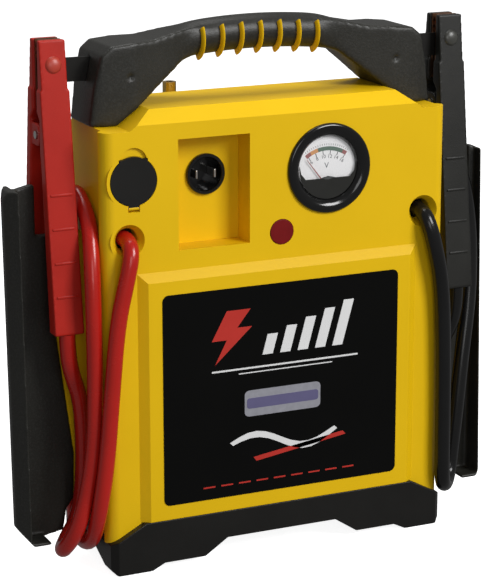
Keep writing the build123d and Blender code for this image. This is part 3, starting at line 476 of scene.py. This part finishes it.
def hoopShape(tree, start):
    # part of a ring round the X axis: Size is (width, ring radius, thickness)
    size = addNode(tree, "ShaderNodeSeparateXYZ")
    tree.links.new(start.outputs["Size"], size.inputs[0])
    arc = addNode(tree, "GeometryNodeCurveArc", mode="RADIUS")
    arc.inputs["Resolution"].default_value = 22
    arc.inputs["Start Angle"].default_value = math.radians(192)
    arc.inputs["Sweep Angle"].default_value = math.radians(112)
    tree.links.new(size.outputs["Y"], arc.inputs["Radius"])
    stand = addNode(tree, "GeometryNodeTransform", Rotation=(0, math.radians(-90), 0))
    tree.links.new(arc.outputs["Curve"], stand.inputs["Geometry"])
    profile = addNode(tree, "GeometryNodeCurvePrimitiveCircle")
    profile.inputs["Resolution"].default_value = 12
    profile.inputs["Radius"].default_value = 1.0
    squash = addNode(tree, "ShaderNodeCombineXYZ")
    half = addNode(tree, "ShaderNodeMath", operation="MULTIPLY")
    half.inputs[1].default_value = 0.5
    tree.links.new(size.outputs["X"], half.inputs[0])
    tree.links.new(half.outputs[0], squash.inputs["Y"])
    tree.links.new(size.outputs["Z"], squash.inputs["X"])
    shaped = addNode(tree, "GeometryNodeTransform")
    tree.links.new(profile.outputs["Curve"], shaped.inputs["Geometry"])
    squash.inputs["Z"].default_value = 1
    tree.links.new(squash.outputs[0], shaped.inputs["Scale"])
    swept = addNode(tree, "GeometryNodeCurveToMesh")
    swept.inputs["Fill Caps"].default_value = True
    tree.links.new(stand.outputs[0], swept.inputs["Curve"])
    tree.links.new(shaped.outputs[0], swept.inputs["Profile Curve"])
    return swept.outputs[0]


def arcTree(name, finishName):
    # short strokes fanned round a pivot in the XZ plane
    tree = bpy.data.node_groups.new(name, "GeometryNodeTree")
    face = tree.interface
    face.new_socket("Geometry", in_out="INPUT", socket_type="NodeSocketGeometry")
    face.new_socket("Geometry", in_out="OUTPUT", socket_type="NodeSocketGeometry")
    for label, kind in (("Count", "NodeSocketInt"), ("Radius", "NodeSocketFloat"),
                        ("Start", "NodeSocketFloat"), ("Step", "NodeSocketFloat"),
                        ("Size", "NodeSocketVector")):
        face.new_socket(label, in_out="INPUT", socket_type=kind)
    start = tree.nodes.new("NodeGroupInput")
    end = tree.nodes.new("NodeGroupOutput")
    line = addNode(tree, "GeometryNodeMeshLine")
    line.inputs["Offset"].default_value = (0, 0, 0)
    tree.links.new(start.outputs["Count"], line.inputs["Count"])
    index = addNode(tree, "GeometryNodeInputIndex")
    angle = addNode(tree, "ShaderNodeMath", operation="MULTIPLY_ADD")
    tree.links.new(index.outputs[0], angle.inputs[0])
    tree.links.new(start.outputs["Step"], angle.inputs[1])
    tree.links.new(start.outputs["Start"], angle.inputs[2])
    spot = addNode(tree, "ShaderNodeCombineXYZ")
    for trig, socket in (("SINE", "X"), ("COSINE", "Z")):
        wave = addNode(tree, "ShaderNodeMath", operation=trig)
        far = addNode(tree, "ShaderNodeMath", operation="MULTIPLY")
        tree.links.new(angle.outputs[0], wave.inputs[0])
        tree.links.new(wave.outputs[0], far.inputs[0])
        tree.links.new(start.outputs["Radius"], far.inputs[1])
        tree.links.new(far.outputs[0], spot.inputs[socket])
    move = addNode(tree, "GeometryNodeSetPosition")
    tree.links.new(line.outputs["Mesh"], move.inputs["Geometry"])
    tree.links.new(spot.outputs[0], move.inputs["Position"])
    cube = addNode(tree, "GeometryNodeMeshCube")
    tree.links.new(start.outputs["Size"], cube.inputs["Size"])
    turn = addNode(tree, "ShaderNodeCombineXYZ")
    tree.links.new(angle.outputs[0], turn.inputs["Y"])
    scatter = addNode(tree, "GeometryNodeInstanceOnPoints")
    tree.links.new(move.outputs[0], scatter.inputs["Points"])
    tree.links.new(cube.outputs["Mesh"], scatter.inputs["Instance"])
    tree.links.new(turn.outputs[0], scatter.inputs["Rotation"])
    real = addNode(tree, "GeometryNodeRealizeInstances")
    paint = addNode(tree, "GeometryNodeSetMaterial")
    paint.inputs["Material"].default_value = finish[finishName]
    tree.links.new(scatter.outputs[0], real.inputs[0])
    tree.links.new(real.outputs[0], paint.inputs["Geometry"])
    tree.links.new(paint.outputs[0], end.inputs[0])
    return tree


def grown(name, tree, values, place=(0, 0, 0), tilt=(0, 0, 0), bevel=0.0):
    # run a node tree once and keep its result as a plain mesh, moved into place
    host = bpy.data.objects.new(name, bpy.data.meshes.new(name))
    scene.collection.objects.link(host)
    modifier = host.modifiers.new("grow", "NODES")
    modifier.node_group = tree
    for item in tree.interface.items_tree:
        if item.item_type == "SOCKET" and item.in_out == "INPUT" and item.name in values:
            modifier[item.identifier] = values[item.name]
    piece = frozen(host, name, 40)
    turn = Matrix.Identity(4)
    for angle, axis in zip(tilt, "XYZ"):
        turn = Matrix.Rotation(angle, 4, axis) @ turn
    piece.data.transform(Matrix.Translation(place) @ turn)
    if bevel:
        soft = piece.modifiers.new("soft", "BEVEL")
        soft.width = bevel
        soft.segments = 2
        piece = frozen(piece, name, 40)
    return piece


print("makers ready")

redCable = {
    "thick": 12.5 * mm, "real": 1.073, "exit": (-0.124, -0.037, 0.262),
    "route": [
        (-124, -37, 262), (-124, -48.8, 262), (-125.2, -57, 253.4), (-129, -58, 237),
        (-137, -56.8, 203), (-142, -56.4, 150), (-147.5, -57.5, 95), (-152.5, -54.5, 58),
        (-153.8, -41, 28), (-152, -14, 16.5), (-150.8, 8, 25), (-148.2, 14.8, 50), (-147, 15, 96),
        (-147.2, 14.2, 160), (-147, 15.2, 222), (-147.1, 14.6, 258), (-147, 15, 284.7),
        (-147.2, 0, 293.3), (-147, -15, 284.7), (-146.9, -27.5, 271.5), (-150, -38.5, 254),
        (-151.8, -45, 230), (-151.9, -46.5, 190), (-151.7, -46, 146), (-153.4, -46.6, 104),
        (-159.2, -45.4, 68), (-167.4, -43.5, 38), (-175, -27.5, 16.5), (-166, -9.8, 18),
        (-155, -10.4, 36), (-151, -12.5, 62), (-150.8, -15.8, 98), (-154.6, -21.5, 135),
        (-162.6, -27, 156), (-167, -29.2, 174), (-167, -29.2, 191),
    ],
}
blackCable = {
    "thick": 12.5 * mm, "real": 1.0253, "exit": (0.124, -0.037, 0.262),
    "route": [
        (124, -37, 262), (124, -48.8, 262), (125.4, -57, 253.2), (130.5, -58.4, 235),
        (138.5, -56.8, 202), (141.4, -56.5, 148), (142.2, -56.2, 100), (142.3, -56.6, 64),
        (143, -56, 36.5), (152.5, -45, 28), (162, -34, 36.5), (164.4, -33.6, 58), (168, -33, 88),
        (175, -28, 134), (184.6, -20.8, 180), (187.6, -14.6, 226), (185.8, -11.5, 255),
        (181.5, -9, 279), (168, -7.5, 296), (151, 2.5, 304.5), (147, 15.5, 279),
        (147, 14.8, 236), (147.2, 14.2, 175), (147, 15, 112), (148.4, 14.2, 62), (151, 14, 31),
        (151.6, -2.5, 21.5), (151, -19, 31), (150.6, -20.4, 60), (151, -21, 102),
        (155, -23.6, 140), (163.4, -27.2, 157), (167, -29.2, 174), (167, -29.2, 191),
    ],
}


def layCable(name, spec, finishName, node):
    curve = bpy.data.curves.new(name, "CURVE")
    curve.dimensions = "3D"
    curve.bevel_depth = spec["thick"] / 2
    curve.bevel_resolution = 6
    curve.use_fill_caps = True
    spline = curve.splines.new("NURBS")
    spline.points.add(len(spec["route"]) - 1)
    for point, (x, y, z) in zip(spline.points, spec["route"]):
        point.co = (x * mm, y * mm, z * mm, 1)
    spline.order_u = 3
    spline.use_endpoint_u = True
    spline.resolution_u = 10
    cable = bpy.data.objects.new(name, curve)
    scene.collection.objects.link(cable)
    cable.data.materials.append(finish[finishName])
    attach(cable, "pack")
    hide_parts(node)


layCable("redJumperCable", redCable, "redVinyl", "red_cable")
layCable("blackJumperCable", blackCable, "blackVinyl", "black_cable")
gland = {"outer": 8.4 * mm, "inner": 6.9 * mm, "front": -37 * mm, "deep": 7 * mm}
for side, word in ((-1, "left"), (1, "right")):
    piece = lathe(word + "CableGland", [
        (6.2 * mm, -gland["deep"]), (gland["outer"], -gland["deep"]), (gland["outer"], -3 * mm),
        (7.6 * mm, -1 * mm), (gland["inner"], 0), (6.3 * mm, 0)],
        (side * 0.124, gland["front"], 0.262), 40)
    settle(piece, "pack", "blackShell", ("cable_glands",) if side < 0 else ())
print("cables ready")

shellEdges = {"housing": 1.5 * mm, "base": 1.8 * mm}
settle(softEdged("frontShell", ["front_housing"], shellEdges["housing"]), "pack",
       "yellowShell", ("front_housing",))
settle(softEdged("rearShell", ["rear_housing"], shellEdges["housing"]), "pack",
       "yellowShell", ("rear_housing",))
settle(softEdged("steppedBase", ["base_tray"], shellEdges["base"]), "pack",
       "blackShell", ("base_tray",))
outletCap = softEdged("outletCap", ["outlet_cap"], 0.7 * mm)
coat(outletCap, "blackShell")
outletCap.data.materials.append(finish["yellowShell"])
for face in outletCap.data.polygons:
    if face.center.z < 288.3 * mm:
        face.material_index = 1
settle(outletCap, "outlet_lid", None, ("outlet_cap",))
settle(softEdged("testButton", ["test_button"], 0.6 * mm), "button", "maroonButton",
       ("test_button",))
print("housing ready")

handle = {"voxel": 1.5 * mm, "rub": 9, "dimpleX": 111 * mm, "dimpleZ": 380 * mm,
          "dimpleRadius": 3.2 * mm, "dimpleDeep": 2.6 * mm, "gripTop": 405.2 * mm, "gripBow": -1.05,
          "gripRadius": 13.3 * mm, "gripEnd": 40 * mm, "gripFade": 34 * mm}


def roundGrip(spot):
    # the middle of the bar is drawn onto a round section that follows the arch
    keep = min(1, max(0, (abs(spot.x) - handle["gripEnd"]) / handle["gripFade"]))
    pull = 1 - keep * keep * (3 - 2 * keep)
    middleZ = handle["gripTop"] + handle["gripBow"] * spot.x * spot.x
    reach = math.hypot(spot.y, spot.z - middleZ)
    if pull and reach > 1e-6:
        scale = 1 + pull * (handle["gripRadius"] / reach - 1)
        spot.y *= scale
        spot.z = middleZ + (spot.z - middleZ) * scale


def pressDimples(spot):
    for side in (-1, 1):
        away = math.hypot(spot.x - side * handle["dimpleX"], spot.z - handle["dimpleZ"])
        if away < handle["dimpleRadius"] and abs(spot.y) > 0.012:
            fade = 0.5 + 0.5 * math.cos(math.pi * away / handle["dimpleRadius"])
            spot.y -= math.copysign(handle["dimpleDeep"] * fade, spot.y)


def shapeHandle(spot):
    roundGrip(spot)
    pressDimples(spot)


settle(moulding("carryHandle", ["handle_front", "handle_rear"], handle["voxel"], handle["rub"],
                shapeHandle), "pack", "grainedBlack", ("handle_front", "handle_rear"))
ribs = {"count": 7, "pitch": 16 * mm, "wide": 8.0 * mm, "thick": 1.5 * mm, "ring": 13.7 * mm,
        "middle": 405.3 * mm, "bow": -1.05}
ribTree = rowTree("gripRibTree", hoopShape, rowInputs, "yellowShell")
settle(grown("gripRibs", ribTree, {"Count": ribs["count"], "Pitch": ribs["pitch"], "Bow": ribs["bow"],
                                   "Size": (ribs["wide"], ribs["ring"], ribs["thick"])},
             (0, 0, ribs["middle"])), "pack", None, ("grip_ribs",))
for side in ("left", "right"):
    settle(moulding(side + "Holster", [side + "_holster"], 1.2 * mm, 4), "pack",
           "grainedBlack", (side + "_holster",))
print("handle and holsters ready")

clampLook = {"voxel": 0.9 * mm, "rub": 4, "ridges": 4, "pitch": 25.4 * mm, "middleZ": 258 * mm,
             "ridge": (17 * mm, 1.7 * mm, 1.8 * mm), "slope": 26 / 218,
             "faceY": 36 * mm, "lowZ": 191 * mm, "rivetZ": 391 * mm}


def squeezeFace(height):
    # how far the outer face of a clamp half stands from the middle plane
    return clampLook["faceY"] - (height - clampLook["lowZ"]) * clampLook["slope"]


for colour in ("red", "black"):
    word = {"red": "clampRed", "black": "clampBlack"}[colour]
    for half, facing, body in (("front", -1, "pack"), ("rear", 1, colour + "_clamp_arm")):
        node = f"{colour}_clamp_{half}"
        name = colour + "Clamp" + half.capitalize()
        settle(moulding(name, [node], clampLook["voxel"], clampLook["rub"]), body, word, (node,))
        # moulded ridges across the squeezing face
        clampX = boxMiddle(node)[0]
        faceY = facing * squeezeFace(clampLook["middleZ"])
        tilt = math.atan(clampLook["slope"]) * facing
        ridgeTree = rowTree(name + "RidgeTree", blockShape, rowInputs, word)
        ridges = grown(name + "Ridges", ridgeTree, {
            "Count": clampLook["ridges"], "Pitch": clampLook["pitch"], "Bow": 0.0,
            "Size": (clampLook["ridge"][2], clampLook["ridge"][1], clampLook["ridge"][0])},
            bevel=0.35 * mm)
        stand = Matrix.Rotation(tilt, 4, "X") @ Matrix.Rotation(math.radians(-90), 4, "Y")
        ridges.data.transform(Matrix.Translation((clampX, faceY, clampLook["middleZ"])) @ stand)
        settle(ridges, body)
        # domed rivet head
        rivetY = facing * squeezeFace(clampLook["rivetZ"])
        dome = [(0.006 * math.cos(a), 0.0026 * math.sin(a))
                for a in [math.radians(9 * i) for i in range(11)]]
        dome[-1] = (0, 0.0026)
        rivet = lathe(name + "Rivet", [(0.0064, -0.001), (0.0064, 0.0002), (0.006, 0.0006)] + dome[1:],
                      (clampX, rivetY, clampLook["rivetZ"]), 40,
                      (0, facing * math.cos(tilt), facing * math.sin(tilt)))
        settle(rivet, body, "rivetRed" if colour == "red" else "rivetGrey", (node + "_rivet",))
print("clamps ready")

label = {"face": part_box("label_plate")[0][1], "middleZ": boxMiddle("label_plate")[2], "wider": 1.25,
         "raise": 4}


def placed(outline):
    return [(x * label["wider"] * mm, label["middleZ"] + (z + label["raise"]) * mm) for x, z in outline]


def printed(name, outlines, finishName):
    return settle(flatArt(name, [placed(outline) for outline in outlines], label["face"]),
                  "pack", finishName)


bolt = [(-4, 34), (12, 34), (3, 20), (13, 20), (-12, -8), (-4, 11), (-14, 11)]
printed("labelBolt", [[(x - 34, z + 28) for x, z in bolt]], "inkRed")
bars = [[(x, 24), (x + 7, 24), (x + 7 + h * 0.22, 24 + h), (x + h * 0.22, 24 + h)]
        for x, h in ((-14, 16), (-2, 21), (10, 26), (22, 31), (34, 36))]
printed("labelBars", bars, "inkWhite")
printed("labelThinLine", [[(-48, 14), (52, 14), (52, 15.4), (-48, 15.4)],
                          [(-30, 10.5), (34, 10.5), (34, 11.3), (-30, 11.3)]], "inkWhite")
printed("labelBadgeRim", [roundedBox(0, -14, 52, 21, 3.5)], "inkSilver")
badge = flatArt("labelBadgeField", [placed(roundedBox(0, -14, 49, 8.4, 2))], label["face"], 0.0003)
settle(badge, "pack", "inkViolet")
wave = [(-36 + 6 * i, -44 + 7 * math.sin(i * 0.55)) for i in range(13)]
printed("labelSwoosh", [wave + [(x + 2, z - 2.5 - 4 * math.sin(math.pi * i / 12))
                                for i, (x, z) in reversed(list(enumerate(wave)))]], "inkWhite")
printed("labelSwooshLow", [[(-20, -58), (42, -47), (44, -50), (-18, -61.5)]], "inkRed")
printed("labelDashes", [[(x, -77), (x + 8, -77), (x + 8, -78.2), (x, -78.2)] for x in range(-54, 50, 12)],
        "inkRed")
print("label ready")

meter = {"middle": boxMiddle("meter_bezel"), "pivotDrop": 15.4 * mm, "dialY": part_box("meter_dial")[0][1],
         "bandInner": 28.3 * mm, "bandOuter": 31.4 * mm, "lean": -38}
mx, mz = meter["middle"][0], meter["middle"][2]
pz = mz - meter["pivotDrop"]
settle(lathe("meterBezel", [(x * mm, z * mm) for x, z in (
    (35, 0), (35, 1.4), (34.4, 2.3), (33.2, 2.85), (31.5, 3.0), (29.5, 2.7), (27.3, 1.7), (25.6, 0.2),
    (24.6, -1.6), (24.2, -3.4), (24.2, -3.9), (30.5, -3.9), (30.5, 0), (35, 0))],
    (mx, -0.049, mz), 96), "pack", "glossBlack", ("meter_bezel",))
settle(lathe("meterDial", [(0, 0), (24.6 * mm, 0), (24.6 * mm, -0.8 * mm), (0, -0.8 * mm)],
             (mx, meter["dialY"], mz), 72), "pack", "dialWhite", ("meter_dial",))
lensDome = [(24.4 * mm * math.sin(math.radians(i * 9)), (-2.2 + 1.3 * math.cos(math.radians(i * 9))) * mm)
            for i in range(11)]
settle(lathe("meterLens", lensDome + [(24.4 * mm, -2.9 * mm), (0, -2.6 * mm)],
             (mx, -0.049, mz), 72), "pack", "clearLens", ("meter_lens",))
coverEdge = [(-24.3, 2.5), (-23.0, -3.4), (-19, -8.2), (-6.5, -8.2), (-4, -7.4), (0, -6.6), (4, -7.4),
             (6.5, -8.2), (19, -8.2), (23.0, -3.4), (24.3, 2.5)]
coverRound = [(24.4 * math.cos(math.radians(a)), 24.4 * math.sin(math.radians(a)))
              for a in range(0, -181, -10)]
cover = flatArt("meterCover", [[(mx + x * mm, mz + z * mm) for x, z in coverEdge + coverRound]],
                -0.0474, 0.0006)
settle(cover, "pack", "coverGrey", ("meter_cover",))
bandY = meter["dialY"] + 0.00002
for name, start, end, ink in (("bandLow", -36, -27, "dialRed"), ("bandFair", -27, -14.5, "dialOrange"),
                              ("bandGood", -14.5, 27, "dialGreen"), ("bandHigh", 27, 34, "dialRed")):
    strip = flatArt("meter" + name.capitalize(),
                    [arcBand((mx, pz), meter["bandInner"], meter["bandOuter"], start, end)], bandY)
    settle(strip, "pack", ink)
tickTree = arcTree("dialTickTree", "dialInk")
for name, count, radius, size in (("meterTicks", 6, 26.7, (0.6, 0.2, 3.0)),
                                  ("meterFineTicks", 21, 33.0, (0.28, 0.2, 1.5))):
    step = math.radians(66 / (count - 1))
    marks = grown(name, tickTree, {"Count": count, "Radius": radius * mm, "Start": math.radians(-33),
                                   "Step": step, "Size": tuple(s * mm for s in size)},
                  (mx, meter["dialY"], pz))
    settle(marks, "pack")


def dialNumbers(name, words, place, y, radius, start, step, height, face=-1):
    pieces = []
    for i, word in enumerate(words):
        text = bpy.data.curves.new(name, "FONT")
        text.body = word
        text.size = height
        text.align_x = "CENTER"
        text.align_y = "CENTER"
        text.extrude = 0.0001
        host = bpy.data.objects.new(name + str(i), text)
        scene.collection.objects.link(host)
        flat = frozen(host, name + str(i))
        a = math.radians(start + step * i)
        turn = Matrix.Rotation(math.radians(90), 4, "X")
        if face > 0:
            turn = Matrix.Rotation(math.pi, 4, "Z") @ turn
        lean = Matrix.Rotation(a, 4, "Y")
        spot = (place[0] + radius * math.sin(a), y, place[1] + radius * math.cos(a))
        flat.data.transform(Matrix.Translation(spot) @ lean @ turn)
        pieces.append(flat)
    return joined(name, pieces)


numbers = dialNumbers("meterNumbers", ["6", "8", "10", "12", "14", "16"], (mx, pz), meter["dialY"],
                      23.6 * mm, -33, 13.2, 4.0 * mm)
settle(numbers, "pack", "dialInk")
unit = dialNumbers("meterUnit", ["V"], (mx, pz), meter["dialY"], 16.5 * mm, 0, 0, 6.2 * mm)
settle(unit, "pack", "dialInk")
lean = math.radians(meter["lean"])
along = Vector((math.sin(lean), 0, math.cos(lean)))
across = Vector((math.cos(lean), 0, -math.sin(lean)))


def buildNeedle(work):
    pivot = Vector((mx, -0.0464, pz))
    tail, tip = pivot - along * 0.003, pivot + along * 0.0285
    rings = []
    for y in (0, -0.0004):
        rings.append([work.verts.new(p + Vector((0, y, 0))) for p in (
            tail - across * 0.0006, tail + across * 0.0006,
            tip + across * 0.00018, tip - across * 0.00018)])
    work.faces.new(rings[0])
    work.faces.new(rings[1])
    for i in range(4):
        work.faces.new([rings[0][i], rings[0][(i + 1) % 4], rings[1][(i + 1) % 4], rings[1][i]])


settle(meshPiece("meterNeedle", buildNeedle), "volt_needle", "dialRed", ("meter_needle",))
print("meter ready")

inletX, inletY, inletZ = boxMiddle("charge_inlet")[0], -27 * mm, boxMiddle("charge_inlet")[2]
settle(lathe("chargeInlet", [(x * mm, z * mm) for x, z in (
    (15.8, 0), (15.8, 2.1), (15.3, 2.8), (14.4, 3.0), (13.4, 2.8), (12.7, 2.0), (12.5, 0.5), (12.5, -12),
    (0, -12), (0, -20), (13.5, -20), (13.5, 0), (15.8, 0))], (inletX, inletY, inletZ), 64),
    "pack", "glossBlack", ("charge_inlet",))
settle(softEdged("inletProngs", ["inlet_prongs"], 0.35 * mm), "pack", "zincSteel",
       ("inlet_prongs",))
print("inlet ready")

gauge = {"x": boxMiddle("pressure_gauge")[0], "z": boxMiddle("pressure_gauge")[2], "faceY": 46.2 * mm}
settle(lathe("gaugeRim", [(x * mm, z * mm) for x, z in (
    (22, 0), (22, 2.2), (21.2, 3.0), (19.2, 3.0), (18.4, 2.4), (18, 1.0), (18, -3), (0, -3), (0, -14),
    (19.7, -14), (19.7, 0), (22, 0))], (gauge["x"], 0.049, gauge["z"]), 72, (0, 1, 0)),
    "pack", "glossBlack", ("pressure_gauge",))
settle(lathe("gaugeFace", [(0, 0), (17.8 * mm, 0), (17.8 * mm, -0.4 * mm), (0, -0.4 * mm)],
             (gauge["x"], gauge["faceY"] + 0.0001, gauge["z"]), 64, (0, 1, 0)),
       "pack", "dialWhite")
marks = grown("gaugeTicks", tickTree, {"Count": 31, "Radius": 15.6 * mm, "Start": math.radians(-135),
                                       "Step": math.radians(9), "Size": (0.35 * mm, 0.3 * mm, 2.2 * mm)},
              (gauge["x"], gauge["faceY"] + 0.0002, gauge["z"]))
settle(marks, "pack")
numbers = dialNumbers("gaugeNumbers", ["0", "25", "50", "75", "100", "125"], (gauge["x"], gauge["z"]),
                      gauge["faceY"] + 0.0002, 11 * mm, 135, -54, 3.2 * mm, 1)
settle(numbers, "pack", "dialInk")
settle(softEdged("rockerFrame", ["switch_frame"], 0.6 * mm), "pack", "blackShell",
       ("switch_frame",))
settle(softEdged("rockerKey", ["compressor_switch"], 0.5 * mm), "rear_rocker",
       "maroonButton", ("compressor_switch",))
print("rear ready")
